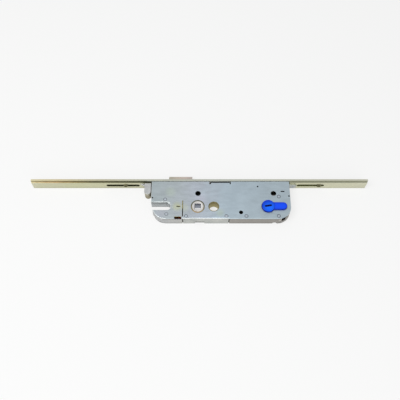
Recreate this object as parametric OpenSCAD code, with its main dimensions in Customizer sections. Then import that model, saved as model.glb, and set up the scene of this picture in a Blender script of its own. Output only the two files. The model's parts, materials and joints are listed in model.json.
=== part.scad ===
// Gearbox section of a multipoint door lock, lying on its side with the cover upwards.
// The origin is on the spindle axis, halfway through the case.
// +X runs down the door, +Y out of the door's edge, +Z out of the cover.

/* [Case] */
// Spindle axis to the upper end of the case
case_up = 61.3; // [56:0.1:75]
// Cylinder axis to the lower end of the case
case_down = 29.7; // [26.5:0.1:43]
// Spindle axis to the back of the case
case_back = 17.7; // [17.5:0.1:22]
// Spindle axis to the front of the faceplate
backset = 40; // [39:0.5:45]
// Thickness of the case
case_thick = 15; // [14.6:0.1:17]
// Thickness of the sheet steel
sheet = 1.3; // [1:0.1:1.5]
// Radius of the lower back corner
corner_r = 17; // [10:0.5:18]
// Radius of the upper back corner, under the bolt fork
lobe_r = 12; // [6:0.5:12.5]
// Spindle axis to the upper end of the rounded lobe
lobe_up = 59; // [54:0.1:61]
// Strip of the case left open behind the faceplate
cover_gap = 0.6; // [0.6:0.1:2.5]
// Outer bend radius of the folded flange
fold_r = 1.8; // [1:0.1:2.5]

/* [Bolt fork] */
// Spindle axis to the closed end of the fork
fork_end = 35.8; // [35:0.1:40]
// Lower edge of the fork, behind the spindle axis
fork_back = 4.9; // [4:0.1:5.5]
// Upper edge of the fork, in front of the spindle axis
fork_front = 6.3; // [5:0.1:6.6]
// Corner radius at the closed end
fork_r = 4; // [2:0.5:5]

/* [Faceplate and rods] */
// Width of the faceplate
face_w = 16; // [16:0.5:24]
// Thickness of the faceplate
face_t = 3; // [2:0.1:3.5]
// Spindle axis to the upper end of the faceplate section
face_up = 223; // [180:1:260]
// Spindle axis to the lower end of the faceplate section
face_down = 227; // [200:1:260]
// Width of a drive rod
rod_w = 15.4; // [12:0.2:15.6]
// Thickness of a drive rod
rod_t = 2.4; // [2:0.1:2.6]
// Rod end held back from the faceplate end
rod_short = 1; // [0:0.5:6]
// Upper end of the case to the upper guide bush
bush_up = 35.5; // [33:0.1:45]
// Lower end of the case to the lower guide bush
bush_down = 41; // [38:0.1:50]
// Outside diameter of a guide bush
bush_d = 5; // [5:0.1:6]
// Screw hole through a guide bush
screw_hole_d = 4.2; // [3.5:0.1:4.4]
// Rod slot beyond the bush, on the side that the rod does not need
slot_spare_up = 23; // [5:1:30]
// The same for the lower rod
slot_spare_down = 4; // [2:0.5:10]
// Slot of the lower rod past its travel, towards the case
slot_run_down = 11; // [0:0.5:11]

/* [Spindle and latch] */
// Square of the spindle
square = 8; // [7:0.5:9]
// Diameter of the hub journal
journal_d = 15; // [14:0.1:16]
// Outside diameter of the hub bushes
bush_ring_d = 18.2; // [18:0.1:19.5]
// Diameter of the hub between the plates
hub_d = 20; // [19:0.1:20.4]
// Radius to the nose of the hub arm
arm_r = 22; // [21.5:0.1:22.5]
// Turn of the handle
handle_turn = 30; // [20:1:32]
// Half the width of the arm's nose
nose_r = 2.5; // [2:0.1:2.8]
// Length of the latch across the faceplate
latch_w = 31.4; // [28:0.1:31.6]
// Spindle axis to the near side of the latch
latch_x = 7.4; // [6:0.1:8]
// Latch standing out of the faceplate
latch_out = 9; // [7:0.5:11]
// Spindle axis to the back of the latch head
latch_rear = 24; // [23:0.5:26]
// Thickness of the latch and of the deadbolt
bolt_t = 8.8; // [8:0.1:9]
// Diameter of the latch spring
latch_spring_d = 6.2; // [5:0.1:6.4]
// Diameter of the hub spring
hub_spring_d = 5.2; // [4:0.1:5.4]
// Wire of both springs
wire_d = 0.8; // [0.6:0.05:0.9]

/* [Key drive] */
// Travel of the rods, slides and deadbolt
travel = 16; // [14:0.5:16]
// Spindle axis to the cylinder axis
cylinder_x = 92; // [90:0.5:92]
// Diameter of the round of the cylinder profile
profile_d = 17; // [16.5:0.1:17]
// Height of the cylinder profile
profile_h = 33; // [32:0.1:33]
// Width of the cylinder profile's tail
profile_w = 10; // [9.5:0.1:10.5]
// Plug standing out of the cover
plug_out = 2.2; // [1:0.1:4]
// Radius to the middle of the cam's nose
cam_r = 13.5; // [13.3:0.1:13.8]
// Turn of the plug slot from the case's long axis
slot_turn = 9; // [-45:1:45]
// Tooth module of the racks and pinion
tooth_m = 1.25; // [1.2:0.05:1.25]
// Teeth on the pinion
teeth = 12; // [12:2:12]
// Spindle axis to the pinion axis, along the case
pinion_x = 72; // [71:0.5:73]
// Spindle axis to the pinion axis, towards the faceplate
pinion_y = 21; // [20.8:0.1:21.4]
// Thickness of the slides
slide_t = 1.8; // [1.5:0.1:2]
// Deadbolt size along the faceplate
deadbolt_w = 26.6; // [25:0.1:27]
// Spindle axis to the upper side of the deadbolt
deadbolt_x = 16.3; // [16.2:0.1:17]
// Diameter of the deadbolt's drive pin
drive_pin_d = 4; // [3:0.1:4.2]

/* [Through holes] */
// Spindle axis to the handle bolt's sleeve
sleeve_x = 21; // [20.5:0.1:21.5]
// Bore of the handle bolt's sleeve
sleeve_bore = 12.6; // [12:0.1:14]
// Wall of the sleeve
sleeve_wall = 0.8; // [0.5:0.1:1]
// Diameter of the small through hole
small_hole_d = 5.5; // [4:0.1:6]

/* [Clearances] */
// Running clearance of a shaft in its hole, on the radius
running = 0.05; // [0.02:0.01:0.1]
// Clearance of a rivet, stud or bush in its hole, on the radius
seat = 0.05; // [0.02:0.01:0.1]
// Clearance between sliding faces
slide_gap = 0.3; // [0.2:0.05:0.35]
// Clearance of a sliding piece in a window
window_gap = 0.4; // [0.3:0.05:0.6]
// Clearance of the cam between its lugs
lug_gap = 0.6; // [0.5:0.05:0.7]
// Clearance of a tooth flank
flank_gap = 0.12; // [0.08:0.02:0.2]
// Clearance of the slides over the floor of the case
floor_gap = 0.2; // [0.15:0.05:0.3]
// Clearance of a rod behind the faceplate
rod_gap = 0.2; // [0.15:0.05:0.3]
// Clearance of a piece that is seated in a pocket
snug = 0.1; // [0.05:0.05:0.15]
// Clearance of a piece that passes another
pass_gap = 0.5; // [0.4:0.1:0.8]

/* [Hidden] */
$fn = 48;

// Reach of a cut past the face that it opens
over = 1;

// Steps of a spring's wire to the turn, and sides of the wire
curl_steps = 8;
wire_sides = 6;

// Heights of the case, its inside and the layers in it
z_out = case_thick / 2;
z_in = z_out - sheet;
slide_z0 = -z_in + floor_gap;
slide_z1 = slide_z0 + slide_t;
bolt_z0 = slide_z1 + slide_gap;
bolt_z1 = bolt_z0 + bolt_t;
bolt_zm = (bolt_z0 + bolt_z1) / 2;
arm_lift = 0.4;
arm_t = 3;
arm_z0 = bolt_z0 + arm_lift;
arm_z1 = arm_z0 + arm_t;

// Places across the door
face_back = backset - face_t;
cover_front = face_back - cover_gap;
rod_y1 = face_back - rod_gap;
rod_y0 = rod_y1 - rod_t;
wall_back = -case_back + sheet;

// Lower end of the case and the guide bushes, along the door
case_end = cylinder_x + case_down;
bush_up_x = -case_up - bush_up;
bush_down_x = case_end + bush_down;

// Folded flange of the cover along the back
flange_x0 = -19;
flange_x1 = 40;
flange_gap = 1.2;

// Rivets through the whole case, and the short one that holds the detent spring
rivet_in = 4;
rivet_y = -case_back + rivet_in;
fork_rivet_in = [3.9, 6];
fork_rivet_x = [-42.8, -40.7];
back_rivet_x = [-15.2, 37.2, 63.1];
end_rivet_past = 13;
rivet_places = concat(
    [[fork_rivet_x[0], fork_front + fork_rivet_in[0]], [fork_rivet_x[1], -fork_back - fork_rivet_in[1]]],
    [for (x = concat(back_rivet_x, [cylinder_x + end_rivet_past])) [x, rivet_y]]
);
rivet_r = 2.2;
cover_rivet_past = 14.6;
cover_rivet_y = 14.3;
cover_rivet_place = [cylinder_x + cover_rivet_past, cover_rivet_y];
cover_rivet_neck_r = 1.2;
cover_rivet_head_r = 1.9;
cover_rivet_head_t = 0.8;

// Holes of the cover that are not for a piece
dark_hole_x = 0.3;
dark_hole_past = 7.9;
dark_hole_y = 19;
dark_holes = [[dark_hole_x, dark_hole_y], [cylinder_x + dark_hole_past, dark_hole_y]];
dark_hole_r = 3.7;
pin_in = 1.6;
pin_y = [15.1, 12.6];
pin_place = [79.4, 29.1];
pin_holes = [pin_place, [case_end - pin_in, pin_y[0]], [-case_up + pin_in, pin_y[1]]];
pin_hole_r = 1.1;
small_hole_place = [56.3, -8.4];
dash_in = 9.6;
dash_y = 21.9;
mid_dash = [-25.2, 0.2];
dash_places = [[case_end - dash_in, dash_y], mid_dash];
dash_run = 3.7;
dash_r = 0.85;

// Windows in the walls and in the edge of the cover
bolt_window_side = 1.1;
bolt_window = [deadbolt_x - bolt_window_side, deadbolt_x + deadbolt_w + bolt_window_side];
bolt_window_legs = [2.5, 1.6];
bolt_window_strip = 1.8;
bolt_window_y = 32.6;
back_window = [-30.5, -21.3];
back_window_z = 5.2;
back_window_in = 2;
flange_notch = [-3.9, 8.7];
flange_notch_z = -2.1;
round_notch_past = 8.5;
round_notch_x = cylinder_x + round_notch_past;
round_notch_r = 3;
corner_window_in = [12.6, 7.6];
corner_window = [case_end - corner_window_in[0], case_end - corner_window_in[1]];
corner_window_z = -1;

// Feet of the tray behind the faceplate, and their rivets
foot_w = 12;
foot_past_screw = 10.6;
foot_back = face_back - sheet;
face_rivet_r = 1.75;
face_rivet_head = 2.6;
face_rivet_z = 3.2;
face_rivet_head_t = 1;
face_rivet_past = 7.4;

// Fixing screw of the cylinder
fix_in = 6.5;
fix_x = cylinder_x + profile_h - profile_d / 2 - fix_in;
face_rivet_x = [-case_up + sheet + foot_w / 2, fix_x - face_rivet_past];
fix_r = 2.5;
fix_head_r = 4.5;
fix_cone = 2.4;

// Hub: arm, tail and their angles
arm_angle = 160;
arm_root_w = 8;
arm_root_in = 2;
tail_w = 5;
tail_past = 2.3;
hub_spring_in = 4.4;
hub_spring_y = wall_back + hub_spring_in;
tail_r = tail_past - hub_spring_y;
hub_tab_x = 22;
hub_tab_w = 6.4;
hub_tab_up = 1.5;
hub_turns = 9;
hub_proud = 0.1;
hub_chamfer = 0.5;
hub_bush_proud = 0.3;
nose_y = arm_r * sin(arm_angle);
latch_travel = nose_y - arm_r * sin(arm_angle + handle_turn);

// Latch: tail plate, lug and spring seat
nose_gap = 0.35;
lug_x = arm_r * (cos(arm_angle) - 1) / 2;
lug_y = nose_y - 2 * nose_r - nose_gap;
tail_lift = 1.2;
tail_t = 2;
tail_z0 = arm_z1 + tail_lift;
tail_z1 = tail_z0 + tail_t;
tail_plate_w = 8;
tail_plate_in = 9;
latch_pin_r = 1.5;
latch_pin_y = latch_rear + tail_plate_in / 2;
latch_spring_x = -31;
latch_pocket = 12;
latch_tip = 1.4;
latch_edge = 0.8;
latch_bevel_out = 0.6;
latch_turns = 10;
latch_tab_y = 8;
latch_tab_w = 8;
rib_x = -19.7;
rib_w = 0.6;
rib_y0 = -2.7;
rib_y1 = 8.2;
rib_slot_y0 = rib_y0 - latch_travel - slide_gap;
rib_slot_y1 = rib_y1 + slide_gap;
rib_slot_half = rib_w / 2 + slide_gap;

// Racks and pinion
pitch_r = tooth_m * teeth / 2;
pitch = PI * tooth_m;
pressure = 25;
stub = 0.8;
addendum = stub * tooth_m;
dedendum = tooth_m;
rack_teeth = ceil(travel / pitch) + 1;
rack_land = 1.2;
rack_len = (rack_teeth - 0.5) * pitch + rack_land;
rack_start = pinion_x - rack_len;
upper_pitch_y = pinion_y + pitch_r;
lower_pitch_y = pinion_y - pitch_r;
axle_r = 3;
axle_head_r = 4.5;
axle_head_t = 1.3;

// Upper slide
strip_y0 = 20;
strip_y1 = 29;
strip_ym = (strip_y0 + strip_y1) / 2;
upper_rack_depth = 3.4;
rack_front = upper_pitch_y + dedendum + upper_rack_depth;
wide_x0 = 22;
wide_x1 = rack_start - rack_land;
wide_y0 = 10;
drive_pin_x = 27;
drive_pin_y = 14;
stud_r = 2;
stud_head_r = 3.4;
stud_head_t = 1;
stud_slot_r = stud_r + snug;
upper_studs = [[-48, strip_ym], [12, strip_ym]];

// Lower slide
lower_rack_depth = 3;
rack_back = lower_pitch_y - dedendum - lower_rack_depth;
plain_gap = 6;
riser_w = 7;
riser_gap = 1.4;
riser_x1 = case_end - sheet - travel - riser_gap;
riser_x0 = riser_x1 - riser_w;
riser_xm = riser_x1 - riser_w / 2;
riser_y1 = 33;
riser_rivet_y = 30.5;
riser_foot_y = 27;
lower_stud = [64.5, 6];
foot_wall = 0.8;
foot_half = 3.5;
foot_x0 = lower_stud[0] - travel - stud_slot_r - foot_wall;
foot_x1 = lower_stud[0] + stud_slot_r + foot_wall;
foot_y0 = lower_stud[1] - foot_half;
foot_y1 = lower_stud[1] + foot_half;

// Cam and the lugs that it drives
cam_sweep = asin(travel / 2 / cam_r);
cam_nose_r = 3;
cam_ring_r = 8;
cam_shank = 4.4;
cam_z0 = bolt_z0;
cam_t = 6.8;
cam_z1 = cam_z0 + cam_t;
lug_t = 1.3;
lug_y0 = 11;
lug_y1 = lower_pitch_y + addendum;
cam_rest_x = cylinder_x - travel / 2;
rotor_r = 5;
rotor_short = 0.2;
bridge_w = 4.5;
plug_top = z_out + plug_out;
rotor_t = 2;
rotor_proud = 0.3;
rotor_z0 = plug_top + rotor_proud - rotor_t;
key_slot = [8.1, 2];
key_slot_deep = 1.8;

// Driver block of the upper rod and coupling of the lower rod
block_gap = 0.8;
block_w = 8.7;
block_x1 = -case_up - block_gap;
block_x0 = block_x1 - block_w;
block_xm = (block_x0 + block_x1) / 2;
block_y0 = 17.8;
block_z = 7;
coupling_x0 = case_end + block_gap;
coupling_w = 9.4;
coupling_x1 = coupling_x0 + coupling_w;
coupling_xm = coupling_x0 + coupling_w / 2;
coupling_t = 1.8;
coupling_y0 = rod_y0 - coupling_t;
coupling_z1 = 4.4;
coupling_r = 3;
coupling_rivet_r = 1.2;
coupling_rivet_z = [-2.1, 2.3];
strap_w = 3.4;
strap_y0 = rod_y0 - strap_w;
strap_z0 = slide_z1;
strap_z1 = strap_z0 + sheet;
strap_x1 = fix_x + fix_r + pass_gap;
block_wall = 1.8;
block_rivet_z = 4;
block_rivet_in = 2;
drive_rivet_r = 1.5;
bush_lip = 0.5;
bush_flange_r = bush_d / 2 + bush_lip;
bush_flange_t = 0.6;
rod_slot_r = bush_d / 2 + slide_gap;
gusset_x0 = bush_up_x + bush_flange_r + travel + pass_gap;
gusset_drop = 4;
gusset_t = 2;
gusset_down = 1;
gusset_z1 = block_z - gusset_down;
gusset_hole_in = [1.3, 1.4];
gusset_hole = [block_x0 - gusset_hole_in[0], rod_y0 - gusset_hole_in[1]];
gusset_hole_r = 0.6;

// Deadbolt
deadbolt_rear = 10.5;
deadbolt_back_of_face = 0.4;
deadbolt_edge = 0.8;
drive_pin_in = 5;

// Detent spring: its leaf, and the places of its nose and tail
leaf = 0.6;
detent_w = 5.5;
detent_in = 0.6;
detent_y0 = lug_y0 + detent_in;
detent_y1 = detent_y0 + detent_w;
detent_past = 0.5;
detent_x = cylinder_x + detent_past;
detent_z = cam_z1 + window_gap;
detent_ramp = 4.5;
detent_toe = [4, 1.1];
detent_end = 3.5;

// Colours of the finishes
zinc = [0.67, 0.72, 0.75];
pale_zinc = [0.78, 0.77, 0.65];
warm_steel = [0.74, 0.71, 0.68];
brass = [0.60, 0.57, 0.44];
dark_steel = [0.40, 0.41, 0.42];
blue = [0.12, 0.36, 0.93];
deep_blue = [0.10, 0.29, 0.84];

// A flat piece between two heights
module layer(z0, z1) {
    translate([0, 0, z0]) linear_extrude(z1 - z0) children();
}

// A rectangle between two corners
module bar(x0, x1, y0, y1) {
    translate([x0, y0]) square([x1 - x0, y1 - y0]);
}

// A block between two corners
module block(x0, x1, y0, y1, z0, z1) {
    translate([x0, y0, z0]) cube([x1 - x0, y1 - y0, z1 - z0]);
}

// A slot along X between two centres
module slot(x0, x1, y, r) {
    bar(x0, x1, y - r, y + r);
    for (x = [x0, x1]) translate([x, y]) circle(r);
}

// What rounding a corner takes away; sx and sy point from the corner into the piece
module corner_cut(x, y, r, sx, sy) {
    translate([x, y]) difference() {
        translate([sx > 0 ? -over : -r, sy > 0 ? -over : -r]) square(r + over);
        translate([sx * r, sy * r]) circle(r);
    }
}

// A round bar or bore along Y
module bore_y(x, y0, y1, z, r) {
    translate([x, y0, z]) rotate([-90, 0, 0]) cylinder(h = y1 - y0, r = r);
}

// A cone along Y that opens from one radius to another
module cone_y(x, y0, y1, z, r0, r1) {
    translate([x, y0, z]) rotate([-90, 0, 0]) cylinder(h = y1 - y0, r1 = r0, r2 = r1);
}

// A round bar or bore along Z
module bore_z(p, z0, z1, r) {
    translate([p[0], p[1], z0]) cylinder(h = z1 - z0, r = r);
}

// A profile in Y and Z, drawn out along X
module along_x(x0, x1) {
    translate([x0, 0, 0]) rotate([90, 0, 90]) linear_extrude(x1 - x0) children();
}

// A profile in X and Z, drawn out along Y
module along_y(y0, y1) {
    translate([0, y1, 0]) rotate([90, 0, 0]) linear_extrude(y1 - y0) children();
}

// The bolt fork, grown by a wall
module fork(grow) {
    r = fork_r - min(grow, 0);
    y0 = -fork_back - grow;
    y1 = fork_front + grow;
    x1 = -fork_end + grow;
    bar(-case_up - over, x1 - r, y0, y1);
    bar(-case_up - over, x1, y0 + r, y1 - r);
    for (y = [y0 + r, y1 - r]) translate([x1 - r, y]) circle(r);
}

// Outline of the case, drawn in by a wall, up to a front edge
module case_outline(inset, front) {
    back = -case_back + inset;
    difference() {
        bar(-case_up + inset, case_end - inset, back, front);
        bar(-case_up - over, -lobe_up + inset, back - over, 0);
        corner_cut(case_end - inset, back, corner_r - inset, -1, 1);
        corner_cut(-lobe_up + inset, back, lobe_r - inset, 1, 1);
        fork(inset);
    }
}

// Keyhole profile of the cylinder
module profile(grow) {
    tail_end = cylinder_x + profile_h - profile_d / 2;
    translate([cylinder_x, 0]) circle(profile_d / 2 + grow);
    slot(cylinder_x, tail_end - profile_w / 2, 0, profile_w / 2 + grow);
}

// Holes that both plates share
module shared_holes() {
    circle(bush_ring_d / 2 + seat);
    translate([sleeve_x, 0]) circle(sleeve_bore / 2 + sleeve_wall + seat);
    translate(small_hole_place) circle(small_hole_d / 2);
    for (p = rivet_places) translate(p) circle(rivet_r + seat);
    profile(window_gap);
}

// Points of a helix along Z
function helix(r, turns, length) = [
    for (i = [0:curl_steps * turns]) let (a = i * 360 / curl_steps)
        [r * cos(a), r * sin(a), length * i / (curl_steps * turns)]
];

// Points round the wire at a point of its helix, which is i steps along
function wire_ring(c, i, r) = [
    for (k = [0:wire_sides - 1]) let (a = i * 360 / curl_steps, b = k * 360 / wire_sides)
        c + r * [cos(b) * cos(a), cos(b) * sin(a), sin(b)]
];

// A compression spring along Z, one unbroken wire
module coil_spring(d, wire, turns, length) {
    n = wire_sides;
    path = helix((d - wire) / 2, turns, length - wire);
    last = len(path) - 1;
    points = [for (i = [0:last]) each wire_ring(path[i], i, wire / 2)];
    walls = [
        for (i = [0:last - 1], k = [0:n - 1]) let (a = n * i + k, b = n * i + (k + 1) % n)
            each [[a, a + n, b + n], [a, b + n, b]]
    ];
    ends = [for (k = [1:n - 2]) each [[0, k, k + 1], [n * last, n * last + k + 1, n * last + k]]];
    echo("spring gap", min([for (i = [0:last - curl_steps]) norm(path[i + curl_steps] - path[i])]) - wire);
    translate([0, 0, wire / 2]) polyhedron(points, concat(walls, ends));
}

// Folded tray: floor, walls, feet behind the faceplate and spring tabs
module case_tray() {
    gap0 = flange_x0 - flange_gap;
    gap1 = flange_x1 + flange_gap;
    color(zinc) difference() {
        union() {
            layer(-z_out, -z_in) difference() {
                case_outline(0, face_back);
                bar(gap0, gap1, -case_back - over, wall_back + snug);
                shared_holes();
                for (p = concat(upper_studs, [lower_stud])) translate(p) circle(stud_r + seat);
                translate([pinion_x, pinion_y]) circle(axle_r + seat);
            }
            layer(-z_in, z_in) difference() {
                case_outline(0, face_back);
                case_outline(sheet, face_back + over);
                bar(gap0, gap1, -case_back - over, wall_back + over);
            }
            block(-case_up, -case_up + sheet + foot_w, foot_back, face_back, -z_in, z_in - slide_gap);
            block(fix_x - foot_past_screw, case_end, foot_back, face_back, -z_in, z_in - slide_gap);
            block(latch_spring_x - latch_tab_w / 2, latch_spring_x + latch_tab_w / 2,
                latch_tab_y, latch_tab_y + sheet, -z_in, bolt_zm + latch_spring_d / 2 + slide_gap);
            block(hub_tab_x, hub_tab_x + sheet, hub_spring_y - hub_tab_w / 2, hub_spring_y + hub_tab_w / 2,
                -z_in, arm_z1 + hub_tab_up);
        }
        block(-case_up - over, -case_up + sheet + over, strip_y0 - window_gap, strip_y1 + window_gap,
            -z_in, slide_z1 + window_gap);
        block(case_end - sheet - over, case_end + over, strap_y0 - window_gap, rod_y0 + window_gap,
            strap_z0 - window_gap, strap_z1 + window_gap);
        block(case_end - sheet - over, case_end + over, coupling_y0 - window_gap, rod_y0 + window_gap,
            strap_z0 - window_gap, coupling_z1 + window_gap);
        block(back_window[0], back_window[1], -case_back - over, wall_back + over, back_window_z, z_out);
        block(corner_window[0], corner_window[1], -case_back - over, wall_back + corner_r,
            corner_window_z, z_out);
        bore_y(round_notch_x, -case_back - over, wall_back + over, -z_out, round_notch_r);
        for (x = face_rivet_x, s = [-1, 1])
            bore_y(x, foot_back - over, face_back + over, s * face_rivet_z, face_rivet_r + seat);
        bore_y(fix_x, foot_back - over, face_back + over, 0, fix_r + window_gap);
    }
}

// Flat cover with the flange that is folded down along the back
module cover_plate() {
    color(zinc) difference() {
        union() {
            layer(z_in, z_out) difference() {
                case_outline(0, cover_front);
                shared_holes();
                translate(cover_rivet_place) circle(rivet_r + seat);
                for (p = dark_holes) translate(p) circle(dark_hole_r);
                for (p = pin_holes) translate(p) circle(pin_hole_r);
                for (p = dash_places) slot(p[0] - dash_run / 2, p[0] + dash_run / 2, p[1], dash_r);
                bar(rib_x - rib_slot_half, rib_x + rib_slot_half, rib_slot_y0, rib_slot_y1);
                bar(bolt_window[0], bolt_window[1], cover_front - bolt_window_strip, cover_front + over);
                bar(bolt_window[0], bolt_window[0] + bolt_window_legs[0], bolt_window_y, cover_front);
                bar(bolt_window[1] - bolt_window_legs[1], bolt_window[1], bolt_window_y, cover_front);
                bar(back_window[0], back_window[1], -case_back - over, wall_back + back_window_in);
            }
            block(flange_x0, flange_x1, -case_back, wall_back, -z_out, z_in);
        }
        along_x(flange_x0 - over, flange_x1 + over) corner_cut(-case_back, z_out, fold_r, 1, -1);
        block(flange_notch[0], flange_notch[1], -case_back - over, wall_back + over,
            -z_out - over, flange_notch_z);
    }
}

// Faceplate with the windows for the latch and the deadbolt
module faceplate() {
    color(pale_zinc) difference() {
        block(-face_up, face_down, face_back, backset, -face_w / 2, face_w / 2);
        block(-latch_x - latch_w - window_gap, -latch_x + window_gap, face_back - over, backset + over,
            bolt_z0 - window_gap, bolt_z1 + window_gap);
        block(deadbolt_x - window_gap, deadbolt_x + deadbolt_w + window_gap, face_back - over, backset + over,
            bolt_z0 - window_gap, bolt_z1 + window_gap);
        for (x = [bush_up_x, bush_down_x]) bore_y(x, face_back - over, backset + over, 0, bush_d / 2 + seat);
        for (x = face_rivet_x, s = [-1, 1])
            bore_y(x, face_back - over, backset + over, s * face_rivet_z, face_rivet_r + seat);
        bore_y(fix_x, face_back - over, backset + over, 0, fix_r + window_gap);
        cone_y(fix_x, backset - fix_cone, backset, 0, fix_r + seat, fix_head_r + seat);
    }
}

// Rivets that hold the tray's feet to the faceplate
module faceplate_rivets() {
    head_y = foot_back - face_rivet_head_t;
    color(zinc) for (x = face_rivet_x, s = [-1, 1]) {
        bore_y(x, head_y, backset, s * face_rivet_z, face_rivet_r);
        bore_y(x, head_y, foot_back, s * face_rivet_z, face_rivet_head);
    }
}

// Flanged bushes that guide the rods and take the faceplate's screws
module rod_guide_bushes() {
    flange_y1 = rod_y0 - slide_gap;
    flange_y0 = flange_y1 - bush_flange_t;
    color(brass) for (x = [bush_up_x, bush_down_x]) difference() {
        union() {
            bore_y(x, flange_y0, backset, 0, bush_d / 2);
            bore_y(x, flange_y0, flange_y1, 0, bush_flange_r);
        }
        bore_y(x, flange_y0 - over, backset + over, 0, screw_hole_d / 2);
    }
}

// Flush rivets that hold the cover on the walls of the tray
module case_rivets() {
    color(dark_steel) for (p = rivet_places) bore_z(p, -z_out, z_out, rivet_r);
}

// Short rivet that holds the detent spring under the cover
module cover_rivet() {
    head_z = z_in - leaf - cover_rivet_head_t;
    color(dark_steel) {
        bore_z(cover_rivet_place, z_in, z_out, rivet_r);
        bore_z(cover_rivet_place, head_z, z_in, cover_rivet_neck_r);
        bore_z(cover_rivet_place, head_z, head_z + cover_rivet_head_t, cover_rivet_head_r);
    }
}

// Leaf spring whose nose holds the lower slide at each end of its travel
module detent_spring() {
    end_x = cover_rivet_place[0] + detent_end;
    ramp_x = detent_x + detent_ramp;
    toe = [detent_x - detent_toe[0], detent_z + detent_toe[1]];
    color(dark_steel) difference() {
        along_y(detent_y0, detent_y1) polygon([
            [end_x, z_in], [ramp_x, z_in], [detent_x, detent_z + leaf], [toe[0], toe[1] + leaf],
            toe, [detent_x, detent_z], [ramp_x, z_in - leaf], [end_x, z_in - leaf]
        ]);
        bore_z(cover_rivet_place, 0, z_out, cover_rivet_neck_r + seat);
    }
}

// Sleeve for the handle's through bolt
module through_bolt_sleeve() {
    color(brass) layer(-z_out, z_out) translate([sleeve_x, 0]) difference() {
        circle(sleeve_bore / 2 + sleeve_wall);
        circle(sleeve_bore / 2);
    }
}

// Bearing ring of the hub in a plate
module hub_bush(z0, z1) {
    color(brass) layer(z0, z1) difference() {
        circle(bush_ring_d / 2);
        circle(journal_d / 2 + running);
    }
}

module hub_bush_top() {
    hub_bush(z_in, z_out + hub_bush_proud);
}

module hub_bush_bottom() {
    hub_bush(-z_out, -z_in);
}

// Stepped stud that the pinion turns on
module pinion_axle() {
    color(dark_steel) {
        bore_z([pinion_x, pinion_y], -z_out, bolt_z0, axle_r);
        bore_z([pinion_x, pinion_y], bolt_z0, bolt_z0 + axle_head_t, axle_head_r);
    }
}

// Headed studs that the slides run on
module slide_guide_studs() {
    color(dark_steel) for (p = concat(upper_studs, [lower_stud])) {
        bore_z(p, -z_out, bolt_z0, stud_r);
        bore_z(p, bolt_z0, bolt_z0 + stud_head_t, stud_head_r);
    }
}

// Spring between the tray's tab and the bottom of the latch's pocket
module latch_spring() {
    y0 = latch_tab_y + sheet + snug;
    y1 = latch_rear + latch_pocket - snug;
    color(dark_steel) translate([latch_spring_x, y0, bolt_zm]) rotate([-90, 0, 0])
        coil_spring(latch_spring_d, wire_d, latch_turns, y1 - y0);
}

// Spring between the hub's tail and the tray's tab
module hub_spring() {
    x0 = tail_w / 2 + snug;
    color(dark_steel) translate([x0, hub_spring_y, (arm_z0 + arm_z1) / 2]) rotate([0, 90, 0])
        coil_spring(hub_spring_d, wire_d, hub_turns, hub_tab_x - snug - x0);
}

// Body of the plastic plug that fills the cylinder's place
module plug_body() {
    bridge = cylinder_x + profile_d / 2 + bridge_w;
    color(deep_blue) difference() {
        layer(-z_out, plug_top) profile(0);
        bore_z([cylinder_x, 0], rotor_z0 - snug, plug_top + over, profile_d / 2 + running);
        bore_z([cylinder_x, 0], -z_out - over, plug_top + over, rotor_r + running);
        block(cylinder_x - profile_d, bridge, -profile_d, profile_d, cam_z0 - slide_gap, cam_z1 + slide_gap);
        bore_y(fix_x, -profile_w, profile_w, 0, fix_r + seat);
    }
}

// Screw through the faceplate into the plug's tail
module cylinder_screw() {
    color(zinc) {
        bore_y(fix_x, -profile_w / 2, backset - fix_cone, 0, fix_r);
        cone_y(fix_x, backset - fix_cone, backset, 0, fix_r, fix_head_r);
    }
}

// Hub with the square for the spindle, the latch arm and the spring tail
module spindle_hub() {
    shoulder = z_in - slide_gap;
    end_z = z_out + hub_proud;
    hole = square + snug;
    mouth = hole + 2 * hub_chamfer;
    root_x = hub_d / 2 - arm_root_in;
    color(warm_steel) difference() {
        union() {
            cylinder(h = 2 * shoulder, d = hub_d, center = true);
            cylinder(h = 2 * end_z, d = journal_d, center = true);
            layer(arm_z0, arm_z1) rotate(arm_angle) {
                polygon([
                    [root_x, -arm_root_w / 2], [arm_r, -nose_r], [arm_r, nose_r], [root_x, arm_root_w / 2]
                ]);
                translate([arm_r, 0]) circle(nose_r);
            }
            layer(arm_z0, arm_z1) bar(-tail_w / 2, tail_w / 2, -tail_r, 0);
        }
        cube([hole, hole, 2 * case_thick], center = true);
        for (s = [0, 180]) rotate([s, 0, 0]) translate([0, 0, end_z - hub_chamfer]) rotate(45)
            cylinder(h = hub_chamfer, d1 = hole * sqrt(2), d2 = mouth * sqrt(2), $fn = 4);
    }
}

// Sprung latch with its bevel towards the cover
module latch_head() {
    nose = backset + latch_out;
    tip_z = bolt_z0 + latch_tip;
    color(warm_steel) difference() {
        along_x(-latch_x - latch_w, -latch_x) polygon([
            [latch_rear, bolt_z0], [nose - latch_edge, bolt_z0], [nose, bolt_z0 + latch_edge], [nose, tip_z],
            [backset + latch_bevel_out, bolt_z1], [latch_rear, bolt_z1]
        ]);
        bore_y(latch_spring_x, latch_rear - over, latch_rear + latch_pocket, bolt_zm,
            latch_spring_d / 2 + slide_gap);
        block(lug_x - tail_plate_w / 2 - snug, lug_x + tail_plate_w / 2 + snug, latch_rear - over,
            latch_rear + tail_plate_in, tail_z0 - snug, tail_z1 + snug);
        bore_z([lug_x, latch_pin_y], bolt_z0 - over, bolt_z1 + over, latch_pin_r + seat);
    }
}

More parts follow.
